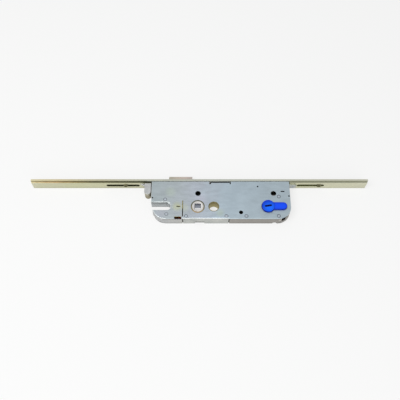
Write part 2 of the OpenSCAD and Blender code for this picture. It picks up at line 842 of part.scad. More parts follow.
// Flat tail that the hub's arm pulls, with its lug and the rib that the cover's slot guides
module latch_tail() {
    color(zinc) difference() {
        union() {
            layer(tail_z0, tail_z1) difference() {
                bar(lug_x - tail_plate_w / 2, lug_x + tail_plate_w / 2, lug_y - nose_r,
                    latch_rear + tail_plate_in - snug);
                for (s = [-1, 1]) corner_cut(lug_x + s * tail_plate_w / 2, lug_y - nose_r, nose_r, -s, 1);
            }
            bore_z([lug_x, lug_y], arm_z0, tail_z0, nose_r);
            block(rib_x - rib_w / 2, rib_x + rib_w / 2, rib_y0, rib_y1, tail_z0, z_out - slide_gap);
        }
        bore_z([lug_x, latch_pin_y], tail_z0 - over, tail_z1 + over, latch_pin_r + seat);
    }
}

// Pin that holds the tail in the latch head
module latch_pin() {
    color(dark_steel) bore_z([lug_x, latch_pin_y], bolt_z0, bolt_z1, latch_pin_r);
}

// Slotted head and shaft that turn in the plug
module plug_rotor() {
    color(blue) difference() {
        union() {
            bore_z([cylinder_x, 0], rotor_z0, rotor_z0 + rotor_t, profile_d / 2 - snug);
            bore_z([cylinder_x, 0], -z_out + rotor_short, rotor_z0 + rotor_short, rotor_r);
        }
        translate([cylinder_x, 0, rotor_z0 + rotor_t]) rotate(slot_turn)
            cube([key_slot[0], key_slot[1], 2 * key_slot_deep], center = true);
    }
}

// Cam on the rotor, between the lugs of the lower slide
module plug_cam() {
    color(deep_blue) layer(cam_z0, cam_z1) translate([cylinder_x, 0]) difference() {
        union() {
            circle(cam_ring_r);
            rotate(90 + cam_sweep) {
                slot(0, cam_r, 0, cam_shank / 2);
                translate([cam_r, 0]) circle(cam_nose_r);
            }
        }
        circle(rotor_r + seat);
    }
}

// Edge of a rack from its free end to its plain stretch: below the pinion, or turned round its axis
function rack_edge(side) =
    let (
        half = pitch / 4 - flank_gap / 2,
        tip = half - addendum * tan(pressure),
        root = half + dedendum * tan(pressure),
        tip_y = -pitch_r + addendum,
        root_y = -pitch_r - dedendum,
        edge = [
            [-rack_len, root_y],
            for (k = [rack_teeth - 1:-1:0]) let (x = (0.5 - k) * pitch)
                each [[x - root, root_y], [x - tip, tip_y], [x + tip, tip_y], [x + root, root_y]],
            [plain_gap, root_y], [plain_gap, tip_y]
        ]
    ) [for (p = edge) [pinion_x, pinion_y] + side * p];

// Lower slide: rack, guide foot, riser and the two lugs for the cam
module lower_slide() {
    stud_x = lower_stud[0];
    color(zinc) {
        layer(slide_z0, slide_z1) difference() {
            polygon(concat(rack_edge(1), [
                [riser_x0, lug_y1], [riser_x0, riser_y1], [riser_x1, riser_y1], [riser_x1, rack_back],
                [foot_x1, rack_back], [foot_x1, foot_y0], [foot_x0, foot_y0], [foot_x0, foot_y1],
                [rack_start, foot_y1]
            ]));
            slot(stud_x - travel, stud_x, lower_stud[1], stud_slot_r);
            translate([riser_xm, riser_rivet_y]) circle(drive_rivet_r + seat);
        }
        for (s = [-1, 1]) {
            face = cam_rest_x + s * (cam_nose_r + lug_gap);
            block(min(face, face + s * lug_t), max(face, face + s * lug_t), lug_y0, lug_y1, slide_z0, cam_z1);
        }
    }
}

// Bent strap that joins the riser of the lower slide to its rod
module lower_coupling() {
    color(zinc) difference() {
        union() {
            layer(strap_z0, strap_z1) polygon([
                [riser_x0, riser_foot_y], [riser_x1, riser_foot_y], [riser_x1, strap_y0],
                [strap_x1 + over, strap_y0], [strap_x1 + over, rod_y0], [riser_x0, rod_y0]
            ]);
            along_y(coupling_y0, rod_y0) difference() {
                bar(strap_x1, coupling_x1, strap_z0, coupling_z1);
                corner_cut(coupling_x1, strap_z0, coupling_r, -1, 1);
                corner_cut(coupling_x1, coupling_z1, coupling_r, -1, -1);
            }
        }
        bore_z([riser_xm, riser_rivet_y], strap_z0 - over, strap_z1 + over, drive_rivet_r + seat);
        for (z = coupling_rivet_z)
            bore_y(coupling_xm, coupling_y0 - over, rod_y0 + over, z, coupling_rivet_r + seat);
    }
}

// A flat rod behind the faceplate with a slot for its guide bush
module drive_rod(x0, x1, slot_x0, slot_x1) {
    along_y(rod_y0, rod_y1) difference() {
        bar(x0, x1, -rod_w / 2, rod_w / 2);
        slot(slot_x0, slot_x1, 0, rod_slot_r);
        children();
    }
}

module lower_rod() {
    slot_x0 = bush_down_x - travel - slot_run_down;
    color(pale_zinc) drive_rod(coupling_x0, face_down - rod_short, slot_x0, bush_down_x + slot_spare_down)
        for (z = coupling_rivet_z) translate([coupling_xm, z]) circle(coupling_rivet_r + seat);
}

// Rivets of the lower coupling: two into the rod, one through the slide's riser
module lower_drive_rivets() {
    color(dark_steel) {
        for (z = coupling_rivet_z) bore_y(coupling_xm, coupling_y0, rod_y1, z, coupling_rivet_r);
        bore_z([riser_xm, riser_rivet_y], slide_z0, strap_z1, drive_rivet_r);
    }
}

// Upper slide: strip to the driver block, slotted plate for the deadbolt, rack
module upper_slide() {
    end_x = block_x0 + block_wall + 2 * snug;
    color(zinc) layer(slide_z0, slide_z1) difference() {
        polygon(concat(rack_edge(-1), [
            [wide_x1, upper_pitch_y - addendum], [wide_x1, wide_y0], [wide_x0, wide_y0], [wide_x0, strip_y0],
            [end_x, strip_y0], [end_x, strip_y1], [wide_x0, strip_y1], [wide_x0, rack_front],
            [pinion_x + rack_len, rack_front]
        ]));
        for (p = upper_studs) slot(p[0], p[0] + travel, p[1], stud_slot_r);
        translate([drive_pin_x, drive_pin_y]) rotate(45) slot(0, travel * sqrt(2), 0, drive_pin_d / 2 + snug);
        translate([block_xm, strip_ym]) circle(drive_rivet_r + seat);
    }
}

// Round-ended block that joins the upper slide to its rod, with a drilled gusset
module driver_block() {
    r = block_w / 2;
    color(zinc) difference() {
        union() {
            layer(-block_z, block_z) {
                bar(block_x0, block_x1, block_y0 + r, rod_y0);
                translate([block_xm, block_y0 + r]) circle(r);
            }
            layer(gusset_z1 - gusset_t, gusset_z1) polygon([
                [gusset_x0, rod_y0], [block_x0 + over, rod_y0],
                [block_x0 + over, rod_y0 - gusset_drop], [block_x0, rod_y0 - gusset_drop]
            ]);
        }
        block(block_x0 + block_wall, block_x1 + over, strip_y0 - snug, strip_y1 + snug,
            slide_z0 - snug, slide_z1 + snug);
        bore_z([block_xm, strip_ym], -block_z - over, block_rivet_in, drive_rivet_r + seat);
        bore_z(gusset_hole, gusset_z1 - gusset_t - over, gusset_z1 + over, gusset_hole_r);
        for (s = [-1, 1])
            bore_y(block_xm, rod_y0 - block_rivet_in, rod_y0 + over, s * block_rivet_z, drive_rivet_r + seat);
    }
}

module upper_rod() {
    color(pale_zinc) drive_rod(-face_up + rod_short, block_x1, bush_up_x - slot_spare_up, bush_up_x + travel)
        for (s = [-1, 1]) translate([block_xm, s * block_rivet_z]) circle(drive_rivet_r + seat);
}

// Rivets of the driver block: two into the rod, one through the slide
module upper_drive_rivets() {
    pin_in = block_rivet_in - snug;
    color(dark_steel) {
        for (s = [-1, 1]) bore_y(block_xm, rod_y0 - pin_in, rod_y1, s * block_rivet_z, drive_rivet_r);
        bore_z([block_xm, strip_ym], -block_z, pin_in, drive_rivet_r);
    }
}

// A point of an involute at a roll angle
function involute(rb, t) = rb * [cos(t) + t * PI / 180 * sin(t), sin(t) - t * PI / 180 * cos(t)];

// Roll angle at which an involute reaches a radius
function roll(rb, r) = sqrt(max(0, pow(r / rb, 2) - 1)) * 180 / PI;

// Pinion that turns one slide's travel into the other's
module reversing_pinion() {
    rb = pitch_r * cos(pressure);
    tip = roll(rb, pitch_r + addendum);
    steps = 5;
    thin = flank_gap / 2 / pitch_r * 180 / PI;
    half = 90 / teeth - thin + tan(pressure) * 180 / PI - pressure;
    flank = [for (i = [0:steps]) involute(rb, tip * i / steps)];
    root = pitch_r - dedendum;
    color(brass) layer(slide_z0, slide_z1) translate([pinion_x, pinion_y]) difference() {
        union() {
            circle(root);
            for (k = [0:teeth - 1]) rotate(k * 360 / teeth) polygon(concat(
                [[0, 0]],
                [for (p = flank) [p[0] * cos(half) + p[1] * sin(half), p[1] * cos(half) - p[0] * sin(half)]],
                [for (i = [steps:-1:0]) let (p = flank[i])
                    [p[0] * cos(half) + p[1] * sin(half), p[0] * sin(half) - p[1] * cos(half)]]
            ));
        }
        circle(axle_r + running);
    }
}

// Square-ended deadbolt, flush behind the faceplate
module deadbolt() {
    front = backset - deadbolt_back_of_face;
    color(warm_steel) difference() {
        block(deadbolt_x, deadbolt_x + deadbolt_w, deadbolt_rear, front, bolt_z0, bolt_z1);
        bore_z([drive_pin_x, drive_pin_y], bolt_z0 - over, bolt_z0 + drive_pin_in, drive_pin_d / 2 + seat);
        along_x(deadbolt_x - over, deadbolt_x + deadbolt_w + over) {
            corner_cut(front, bolt_z1, deadbolt_edge, -1, -1);
            corner_cut(front, bolt_z0, deadbolt_edge, -1, 1);
        }
    }
}

// Pin of the deadbolt in the slanted slot of the upper slide
module deadbolt_pin() {
    color(dark_steel)
        bore_z([drive_pin_x, drive_pin_y], slide_z0, bolt_z0 + drive_pin_in - snug, drive_pin_d / 2);
}

case_tray();
cover_plate();
faceplate();
faceplate_rivets();
rod_guide_bushes();
case_rivets();
cover_rivet();
detent_spring();
through_bolt_sleeve();
hub_bush_top();
hub_bush_bottom();
pinion_axle();
slide_guide_studs();
latch_spring();
hub_spring();
plug_body();
cylinder_screw();
spindle_hub();
latch_head();
latch_tail();
latch_pin();
plug_rotor();
plug_cam();
lower_slide();
lower_coupling();
lower_rod();
lower_drive_rivets();
upper_slide();
driver_block();
upper_rod();
upper_drive_rivets();
reversing_pinion();
deadbolt();
deadbolt_pin();
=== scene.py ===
"""Looks of the gearbox section of a multipoint door lock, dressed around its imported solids."""
import json
import math

import bmesh
import bpy
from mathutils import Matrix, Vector


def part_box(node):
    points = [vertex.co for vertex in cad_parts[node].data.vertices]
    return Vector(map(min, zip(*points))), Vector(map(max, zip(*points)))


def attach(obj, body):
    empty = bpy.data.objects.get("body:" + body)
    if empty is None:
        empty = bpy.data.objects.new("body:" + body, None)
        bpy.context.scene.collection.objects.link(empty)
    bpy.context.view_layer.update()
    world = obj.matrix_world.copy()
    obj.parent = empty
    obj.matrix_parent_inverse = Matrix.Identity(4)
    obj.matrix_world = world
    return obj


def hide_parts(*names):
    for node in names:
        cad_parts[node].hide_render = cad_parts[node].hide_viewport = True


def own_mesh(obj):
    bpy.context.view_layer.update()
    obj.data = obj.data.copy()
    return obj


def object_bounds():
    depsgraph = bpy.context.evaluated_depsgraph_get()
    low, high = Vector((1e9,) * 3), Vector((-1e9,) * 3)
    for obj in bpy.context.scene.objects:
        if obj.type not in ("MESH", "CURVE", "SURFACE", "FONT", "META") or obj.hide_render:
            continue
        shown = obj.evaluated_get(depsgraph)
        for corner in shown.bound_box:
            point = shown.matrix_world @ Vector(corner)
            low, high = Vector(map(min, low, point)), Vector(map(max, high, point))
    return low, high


# Lengths are in millimetres unless a comment says metres; times MM they are metres
MM = 0.001

# The photograph's view: looking along +Y, from well above
VIEW_ELEVATION = math.radians(64.3)
VIEW_TARGET = Vector((2.95, 9.25, 7.5)) * MM
VIEW_WIDTH = 524.8 * MM
LENS = 50.0
SENSOR = 36.0

# Edge rounding of the pieces that show, by node, the angle from which an edge is sharp, and the steps
# of a rounding
EDGE_ROUND = {
    "cover_plate": 0.35,
    "case_tray": 0.25,
    "faceplate": 0.4,
    "upper_rod": 0.3,
    "lower_rod": 0.3,
    "driver_block": 0.9,
    "lower_coupling": 0.3,
    "latch_head": 0.5,
    "deadbolt": 0.5,
    "plug_body": 0.45,
    "plug_rotor": 0.4,
    "spindle_hub": 0.35,
    "hub_bush_top": 0.2,
    "hub_bush_bottom": 0.2,
    "through_bolt_sleeve": 0.25,
    "rod_guide_bushes": 0.15,
    "cylinder_screw": 0.15,
}
EDGE_ANGLE = math.radians(35)
EDGE_SEGMENTS = 3

# Shortest edge that is rounded, where small holes leave no room for it; with its value the hub
# stays sharp
SHORTEST_ROUND = {
    "faceplate": 8.0,
    "case_tray": 4.0,
    "cover_plate": 4.0,
    "spindle_hub": 10.0,
    "upper_rod": 0.3,
    "lower_rod": 0.3,
    "driver_block": 0.3,
    "lower_coupling": 0.3,
    "latch_head": 0.6,
}

# Peened rim round a rivet: its radius, and its profile from that radius and from the cover's top
RIVET_RIM = 2.2
RIM_PROFILE = [(-0.5, -0.1), (-0.4, 0.06), (-0.1, 0.1), (0.2, 0.05), (0.3, -0.1)]

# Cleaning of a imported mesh: distance at which points are one, and angle up to which faces are flat
MERGE = 0.002
FLAT_ANGLE = math.radians(1)

# Range of a noise value over which its marks change, and the narrower ones of patches and of flow marks
NOISE_RANGE = (0.3, 0.7)
PATCH_RANGE = (0.32, 0.68)
FLOW_RANGE = (0.35, 0.65)

# Metal: levels of its clouding, change of roughness over the grain, relief of the grain and its depth
CLOUDING = (0.95, 1.04)
GRAIN_ROUGHNESS = (-0.08, 0.1)
GRAIN_RELIEF = 0.1
GRAIN_DEPTH = 0.05

# Graded shades: cycles per metre of their wavering border. Stains and spots of painted light: share of
# the radius that is full
BORDER_STRETCH = (60, 60, 60)
SPOT_CORE = 0.3

# Plastic: cycles per metre of its flow marks and its skin, change of roughness, gloss, relief and depth
FLOW_STRETCH = (90, 160, 90)
SKIN_STRETCH = (2600, 2600, 2600)
SKIN_ROUGHNESS = (-0.05, 0.07)
PLASTIC_GLOSS = 0.2
SKIN_RELIEF = 0.08
SKIN_DEPTH = 0.04

# Floor: half its width in metres, colour, roughness, gloss, and its glow where it is seen
FLOOR_HALF = 4.0
FLOOR_COLOUR = (0.9, 0.9, 0.9, 1)
FLOOR_ROUGHNESS = 0.8
FLOOR_GLOSS = 0.1
FLOOR_GLOW = (0.93, 0.93, 0.925, 1)
FLOOR_GLOW_SHARE = 0.78

# Surroundings: colour and strength as light, and as they are seen
SKY_LIGHT = (0.97, 0.985, 1.0, 1)
SKY_STRENGTH = 0.55
BACKDROP = (0.95, 0.955, 0.96, 1)
BACKDROP_STRENGTH = 0.95

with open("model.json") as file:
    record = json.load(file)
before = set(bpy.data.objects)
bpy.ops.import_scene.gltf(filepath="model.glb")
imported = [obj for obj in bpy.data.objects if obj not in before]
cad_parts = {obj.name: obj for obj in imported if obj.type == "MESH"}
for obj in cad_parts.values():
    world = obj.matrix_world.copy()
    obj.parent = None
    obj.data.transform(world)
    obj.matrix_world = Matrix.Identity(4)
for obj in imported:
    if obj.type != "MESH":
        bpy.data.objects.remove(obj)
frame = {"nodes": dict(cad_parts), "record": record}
cad_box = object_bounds()
bodies_of_nodes = {
    node: body
    for body, nodes in frame["record"]["behaviour"]["bodies"].items()
    for node in nodes
}


def linear(red, green, blue):
    """Linear colour of an 8-bit display colour, by the usual display curve."""
    def channel(value):
        share = value / 255
        return share / 12.92 if share <= 0.04045 else ((share + 0.055) / 1.055) ** 2.4
    return (channel(red), channel(green), channel(blue), 1.0)


def grey(level):
    """A colour of three equal channels."""
    return (level, level, level, 1)


def new_material(name, metallic, roughness):
    """A material with one principled shader, and its node tree."""
    material = bpy.data.materials.new(name)
    material.use_nodes = True
    tree = material.node_tree
    shader = tree.nodes["Principled BSDF"]
    shader.inputs["Metallic"].default_value = metallic
    shader.inputs["Roughness"].default_value = roughness
    return material, tree, shader


def noise(tree, stretch, detail, rough=0.5):
    """Noise over the part's own coordinates; stretch is in cycles per metre along each axis."""
    coords = tree.nodes.new("ShaderNodeTexCoord")
    mapping = tree.nodes.new("ShaderNodeMapping")
    mapping.inputs["Scale"].default_value = stretch
    texture = tree.nodes.new("ShaderNodeTexNoise")
    texture.inputs["Scale"].default_value = 1.0
    texture.inputs["Detail"].default_value = detail
    texture.inputs["Roughness"].default_value = rough
    tree.links.new(coords.outputs["Object"], mapping.inputs["Vector"])
    tree.links.new(mapping.outputs["Vector"], texture.inputs["Vector"])
    return texture.outputs["Fac"]


def ramp(tree, value, stops):
    """A colour ramp through (place, colour) stops."""
    node = tree.nodes.new("ShaderNodeValToRGB")
    elements = node.color_ramp.elements
    while len(elements) < len(stops):
        elements.new(0.5)
    for element, (place, colour) in zip(elements, stops):
        element.position = place
        element.color = colour
    tree.links.new(value, node.inputs["Fac"])
    return node.outputs["Color"]


def mix(tree, factor, first, second, blend="MIX"):
    """One colour over another; a colour may be a socket or four numbers."""
    node = tree.nodes.new("ShaderNodeMix")
    node.data_type = "RGBA"
    node.blend_type = blend
    colour_in = [socket for socket in node.inputs if socket.type == "RGBA"]
    for socket, colour in zip(colour_in, (first, second)):
        if isinstance(colour, bpy.types.NodeSocket):
            tree.links.new(colour, socket)
        else:
            socket.default_value = colour
    if isinstance(factor, bpy.types.NodeSocket):
        tree.links.new(factor, node.inputs["Factor"])
    else:
        node.inputs["Factor"].default_value = factor
    return [socket for socket in node.outputs if socket.type == "RGBA"][0]


def bump(tree, shader, height, strength, depth):
    """Relief on a shader from a height."""
    node = tree.nodes.new("ShaderNodeBump")
    node.inputs["Strength"].default_value = strength
    node.inputs["Distance"].default_value = depth
    tree.links.new(height, node.inputs["Height"])
    tree.links.new(node.outputs["Normal"], shader.inputs["Normal"])


def remap(tree, value, given, wanted):
    """A value carried from one range to another, and held at its ends."""
    node = tree.nodes.new("ShaderNodeMapRange")
    node.inputs["From Min"].default_value = given[0]
    node.inputs["From Max"].default_value = given[1]
    node.inputs["To Min"].default_value = wanted[0]
    node.inputs["To Max"].default_value = wanted[1]
    tree.links.new(value, node.inputs["Value"])
    return node.outputs["Result"]


def graded(tree, axis, stops, waver):
    """Shades along an axis of the part, from (millimetre, shade) stops, with a wavering border."""
    coords = tree.nodes.new("ShaderNodeTexCoord")
    parts = tree.nodes.new("ShaderNodeSeparateXYZ")
    tree.links.new(coords.outputs["Object"], parts.inputs["Vector"])
    first = stops[0][0]
    span = stops[-1][0] - first
    place = remap(tree, parts.outputs[axis], (first * MM, (first + span) * MM), (0.0, 1.0))
    border = noise(tree, BORDER_STRETCH, detail=4.0, rough=0.6)
    shift = remap(tree, border, NOISE_RANGE, (-waver, waver))
    total = tree.nodes.new("ShaderNodeMath")
    total.operation = "ADD"
    tree.links.new(place, total.inputs[0])
    tree.links.new(shift, total.inputs[1])
    return ramp(tree, total.outputs[0], [((at - first) / span, shade) for at, shade in stops])


def stains_and_light_spots(tree, colour, spots):
    """A colour with soft round spots, stains on metal and painted light on plastic: place and radius in
    millimetres, shade and strength.
    """
    for place, radius, shade, strength in spots:
        coords = tree.nodes.new("ShaderNodeTexCoord")
        far = tree.nodes.new("ShaderNodeVectorMath")
        far.operation = "DISTANCE"
        far.inputs[1].default_value = Vector(place) * MM
        tree.links.new(coords.outputs["Object"], far.inputs[0])
        fade = (SPOT_CORE * radius * MM, radius * MM)
        share = remap(tree, far.outputs["Value"], fade, (strength, 0.0))
        colour = mix(tree, share, colour, shade)
    return colour


def uneven(tree, shader, marks, roughness, change):
    """Varies a shader's roughness over some marks, by a lower and an upper change."""
    wanted = [roughness + step for step in change]
    tree.links.new(remap(tree, marks, NOISE_RANGE, wanted), shader.inputs["Roughness"])


def plated_metal(
    name, shades, roughness, metallic=0.9, grain=(40, 700, 700), mottle=(55, 55, 55), worn=0.08,
    axis=None, waver=0.06, bands=(), across="Z", spots=(),
):
    """Plated or ground metal: mottled or graded shades, bands, stains and a rolling grain.

    Shades are a plain list, or (millimetre, shade) stops along the axis.
    Bands are (millimetre, level) stops that make the shades darker or lighter.
    """
    material, tree, shader = new_material(name, metallic, roughness)
    patches = noise(tree, mottle, detail=4.0, rough=0.55)
    if axis:
        cloud = ramp(tree, patches, [(at, grey(level)) for at, level in zip(NOISE_RANGE, CLOUDING)])
        colour = mix(tree, 1.0, graded(tree, axis, shades, waver), cloud, "MULTIPLY")
    else:
        first, last = PATCH_RANGE
        step = (last - first) / (len(shades) - 1)
        colour = ramp(tree, patches, [(first + step * i, shade) for i, shade in enumerate(shades)])
    if bands:
        levels = [(at, grey(level)) for at, level in bands]
        colour = mix(tree, 1.0, colour, graded(tree, across, levels, 0.0), "MULTIPLY")
    colour = stains_and_light_spots(tree, colour, spots)
    streaks = noise(tree, grain, detail=5.0, rough=0.65)
    wear_levels = (1 - worn, 1 + worn / 2)
    lines = ramp(tree, streaks, [(at, grey(level)) for at, level in zip(NOISE_RANGE, wear_levels)])
    tree.links.new(mix(tree, 1.0, colour, lines, "MULTIPLY"), shader.inputs["Base Color"])
    uneven(tree, shader, streaks, roughness, GRAIN_ROUGHNESS)
    bump(tree, shader, streaks, GRAIN_RELIEF, GRAIN_DEPTH * MM)
    return material


def moulded_plastic(name, shade, deep, roughness, spots=()):
    """Moulded plastic: an even colour with faint flow marks, paler spots of painted light and a fine
    skin.
    """
    material, tree, shader = new_material(name, 0.0, roughness)
    flow = noise(tree, FLOW_STRETCH, detail=3.0)
    colour = stains_and_light_spots(tree, ramp(tree, flow, list(zip(FLOW_RANGE, (deep, shade)))), spots)
    tree.links.new(colour, shader.inputs["Base Color"])
    skin = noise(tree, SKIN_STRETCH, detail=2.0)
    uneven(tree, shader, skin, roughness, SKIN_ROUGHNESS)
    shader.inputs["Specular IOR Level"].default_value = PLASTIC_GLOSS
    bump(tree, shader, skin, SKIN_RELIEF, SKIN_DEPTH * MM)
    return material


# Finishes of the pieces
cover_zinc = plated_metal(
    "cover_zinc",
    [
        (-62, linear(158, 168, 171)), (-28, linear(166, 174, 178)), (0, linear(170, 177, 186)),
        (40, linear(166, 180, 189)), (122, linear(163, 176, 183)),
    ],
    roughness=0.42,
    axis="X",
    grain=(60, 260, 260),
    worn=0.05,
    spots=[
        ((-27, 0, 7.5), 8, linear(186, 190, 160), 0.7),
        ((-17, -2, 7.5), 7, linear(182, 188, 172), 0.5),
        ((-36, 21, 7.5), 9, linear(172, 184, 172), 0.5),
        ((29, -9, 7.5), 7, linear(168, 182, 166), 0.5),
        ((-48, -9, 7.5), 12, linear(172, 174, 184), 0.5),
        ((4, 11, 7.5), 9, linear(182, 182, 196), 0.5),
    ],
    # Bands: a painted highlight on the strip along the cover's front edge, where the sheet bends down
    bands=[(-17.7, 1.22), (-16.9, 1.2), (-16.1, 1.0), (37, 1.0)],
    across="Y",
)
# Back of the cover's flange: painted lighter than the cover's top, as light on the side facing the front
# lamp, and a little warmer in tone
flange_lit_zinc = plated_metal(
    "flange_lit_zinc",
    [linear(172, 176, 172), linear(186, 188, 184), linear(195, 196, 191)],
    roughness=0.45,
    grain=(60, 60, 500),
)
# Tray walls: warmer and darker towards +X, partly their own tone and partly painted shade where the wall
# sits back under the cover
tray_zinc = plated_metal(
    "tray_zinc",
    [
        (-62, linear(184, 186, 188)), (-25, linear(192, 192, 188)), (20, linear(180, 180, 174)),
        (48, linear(158, 154, 148)), (122, linear(150, 147, 142)),
    ],
    roughness=0.45,
    axis="X",
    grain=(60, 60, 900),
    # Bands: darker towards the bottom, and a painted shadow under the cover's edge at the top
    bands=[(-7.5, 0.8), (-4, 0.92), (-1, 1.0), (3, 1.0), (4.6, 0.9), (6.2, 0.66)],
)
# Painted highlight on the cover's outer edge and on its bent top edges
edge_highlight_zinc = plated_metal(
    "edge_highlight_zinc",
    [linear(190, 197, 198), linear(200, 206, 206), linear(207, 212, 211)],
    roughness=0.4,
    grain=(300, 300, 60),
)
# Walls of the bolt fork: painted light and shade in bands up their height, lightest low down, darkest
# near the top
fork_shaded_zinc = plated_metal(
    "fork_shaded_zinc",
    [
        (-7.5, linear(152, 156, 156)), (-4, linear(186, 191, 192)), (-1, linear(180, 185, 186)),
        (2, linear(168, 173, 174)), (4.5, linear(146, 151, 152)), (7.5, linear(166, 171, 173)),
    ],
    roughness=0.45,
    axis="Z",
    grain=(90, 90, 700),
)
# Faces inside the case: near black as painted shade, with one orange spot on the floor
case_inside_shade = plated_metal(
    "case_inside_shade",
    [linear(24, 22, 18), linear(38, 34, 28), linear(52, 46, 36)],
    roughness=0.5,
    metallic=0.5,
    spots=[((-26, -9, -6.2), 9, linear(196, 84, 48), 0.95)],
)
groove_olive = plated_metal(
    "groove_olive",
    [linear(150, 140, 84), linear(178, 168, 108), linear(196, 188, 136)],
    roughness=0.45,
    grain=(300, 300, 300),
)
rod_zinc = plated_metal(
    "rod_zinc",
    [
        (-223, linear(206, 204, 178)), (-170, linear(200, 200, 166)), (-90, linear(199, 198, 168)),
        (120, linear(202, 202, 172)), (227, linear(206, 205, 182)),
    ],
    roughness=0.4,
    axis="X",
    grain=(12, 500, 500),
    mottle=(18, 60, 60),
    worn=0.06,
    bands=[(-8, 0.82), (-5.5, 0.92), (-2, 1.0), (8, 1.02)],
)
# Thin top edges of the rods: painted shade of the gap behind the faceplate, near black by the case's
# left end, paler towards the rods' ends
rod_edge_shade = plated_metal(
    "rod_edge_shade",
    [
        (-223, linear(196, 184, 142)), (-193, linear(174, 148, 106)), (-167, linear(136, 122, 82)),
        (-135, linear(102, 99, 72)), (-76, linear(84, 86, 64)), (-64, linear(26, 28, 18)),
        (120, linear(142, 143, 122)), (190, linear(148, 149, 128)), (227, linear(166, 165, 144)),
    ],
    roughness=0.45,
    axis="X",
    waver=0.02,
    grain=(12, 500, 500),
)
# Walls of the rods' slots: dark olive as painted shade, lighter in the right rod
rod_slot_shade = plated_metal(
    "rod_slot_shade",
    [
        (-125, linear(66, 68, 42)), (-60, linear(66, 68, 42)), (120, linear(112, 115, 76)),
        (175, linear(112, 115, 76)),
    ],
    roughness=0.5,
    metallic=0.6,
    axis="X",
    waver=0.0,
    grain=(60, 400, 400),
)
# Back of the faceplate: dark olive as painted shade where it shows through the rods' slots, and painted
# light in the gap behind the case
face_back = plated_metal(
    "face_back",
    [
        (-223, linear(68, 70, 45)), (-70, linear(66, 68, 44)), (-62, linear(182, 188, 182)),
        (118, linear(184, 190, 184)), (126, linear(118, 121, 82)), (227, linear(124, 127, 90)),
    ],
    roughness=0.5,
    metallic=0.6,
    axis="X",
    waver=0.0,
    grain=(60, 400, 400),
)
# Rod guide bushes: olive, darkened as painted shade in the rods' slots
guide_olive_shade = plated_metal(
    "guide_olive_shade",
    [linear(104, 102, 72), linear(126, 124, 90), linear(144, 141, 108)],
    roughness=0.45,
    grain=(400, 400, 400),
)
# Painted shade: near black walls of pin holes, the gusset hole and the corner window, and the cover's
# solid edge over that window
hole_shade_black = plated_metal(
    "hole_shade_black",
    [linear(16, 16, 14), linear(24, 23, 20), linear(32, 30, 26)],
    roughness=0.6,
    metallic=0.3,
    grain=(400, 400, 400),
)
face_zinc = plated_metal(
    "face_zinc",
    [
        (-223, linear(214, 206, 170)), (-190, linear(204, 192, 154)), (-150, linear(190, 184, 154)),
        (-95, linear(180, 179, 158)), (-40, linear(178, 180, 168)), (60, linear(184, 187, 176)),
        (150, linear(190, 190, 172)), (227, linear(196, 195, 178)),
    ],
    roughness=0.38,
    axis="X",
    waver=0.02,
    grain=(10, 500, 500),
    mottle=(14, 60, 60),
    worn=0.06,
)
bolt_metal = plated_metal(
    "bolt_metal",
    [
        (-38, linear(176, 170, 152)), (-28, linear(190, 180, 164)), (-16, linear(196, 182, 172)),
        (-7, linear(180, 168, 160)), (43, linear(188, 180, 172)),
    ],
    roughness=0.4,
    axis="X",
    grain=(700, 60, 60),
)
# Deadbolt behind its front end: near black as painted shade under the cover
bolt_shade_black = plated_metal(
    "bolt_shade_black",
    [linear(22, 23, 22), linear(32, 33, 31), linear(44, 44, 41)],
    roughness=0.45,
    metallic=0.6,
    grain=(400, 60, 400),
)
hub_metal = plated_metal(
    "hub_metal",
    [linear(196, 195, 194), linear(206, 204, 202), linear(212, 208, 202)],
    roughness=0.36,
    grain=(300, 300, 60),
)
# Walls of the hub's square hole: painted light and shade, lighter low down and darker near the top
square_light_and_shade = plated_metal(
    "square_light_and_shade",
    [
        (-7.5, linear(176, 182, 194)), (2, linear(158, 164, 176)), (5, linear(120, 126, 138)),
        (7.6, linear(104, 108, 118)),
    ],
    roughness=0.42,
    axis="Z",
    waver=0.03,
    grain=(300, 300, 60),
)
# Top hub bush: brass, painted lighter on its near side and darker on its far side, as painted light and
# shade
ring_brass_shaded = plated_metal(
    "ring_brass_shaded",
    [
        (-9.4, linear(164, 140, 104)), (-5, linear(142, 130, 98)), (2, linear(104, 104, 86)),
        (9.4, linear(94, 95, 84)),
    ],
    roughness=0.4,
    axis="Y",
    grain=(300, 300, 300),
)
bush_brass = plated_metal(
    "bush_brass",
    [linear(126, 116, 82), linear(148, 138, 104), linear(160, 152, 124)],
    roughness=0.42,
    grain=(300, 300, 300),
)
sleeve_brass = plated_metal(
    "sleeve_brass",
    [
        (-7.5, linear(178, 168, 116)), (0, linear(165, 154, 102)), (4, linear(148, 137, 87)),
        (7.5, linear(124, 115, 74)),
    ],
    roughness=0.45,
    axis="Z",
    grain=(300, 300, 60),
)
rivet_steel = plated_metal(
    "rivet_steel",
    [linear(156, 166, 176), linear(170, 178, 188), linear(180, 186, 192)],
    roughness=0.4,
    grain=(500, 500, 500),
)
screw_zinc = plated_metal(
    "screw_zinc",
    [linear(158, 158, 144), linear(176, 176, 162), linear(188, 187, 174)],
    roughness=0.36,
    grain=(500, 500, 500),
)
coupling_zinc = plated_metal(
    "coupling_zinc",
    [linear(172, 176, 172), linear(184, 187, 182), linear(192, 194, 188)],
    roughness=0.42,
    grain=(200, 200, 200),
)
block_zinc = plated_metal(
    "block_zinc",
    [linear(166, 168, 168), linear(176, 178, 178), linear(186, 187, 188)],
    roughness=0.42,
    grain=(200, 200, 200),
)
# Round end of the driver block: painted olive-brown shade, darkest low down
block_end_shade = plated_metal(
    "block_end_shade",
    [
        (-7, linear(138, 130, 104)), (2, linear(164, 158, 136)), (5, linear(182, 180, 166)),
        (7, linear(150, 146, 124)),
    ],
    roughness=0.45,
    axis="Z",
    grain=(200, 200, 200),
)
